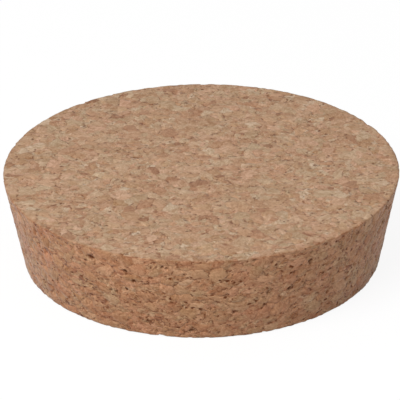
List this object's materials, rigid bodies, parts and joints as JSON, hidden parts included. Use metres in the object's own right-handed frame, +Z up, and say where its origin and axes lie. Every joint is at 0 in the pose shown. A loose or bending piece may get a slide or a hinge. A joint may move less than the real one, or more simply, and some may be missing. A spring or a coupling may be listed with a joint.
{
  "type": "cork stopper",
  "caption": "Wide, low, tapered stopper of pressed cork granules, with flat faces, sanded edges and open pores, for the mouth of a round jar.",
  "frame": {"origin": "centre of the lower, smaller face, on which the stopper stands", "axes": "+Z up along the stopper's axis, from the lower face to the upper, larger face; the front is towards -Y"},
  "size_m": [0.1048, 0.1048, 0.025],
  "materials": {
    "cork": "pressed cork granules, ground and sanded, matt, with open pores"
  },
  "bodies": {
    "root": {"cork_stopper": "cork"}
  },
  "joints": []
}
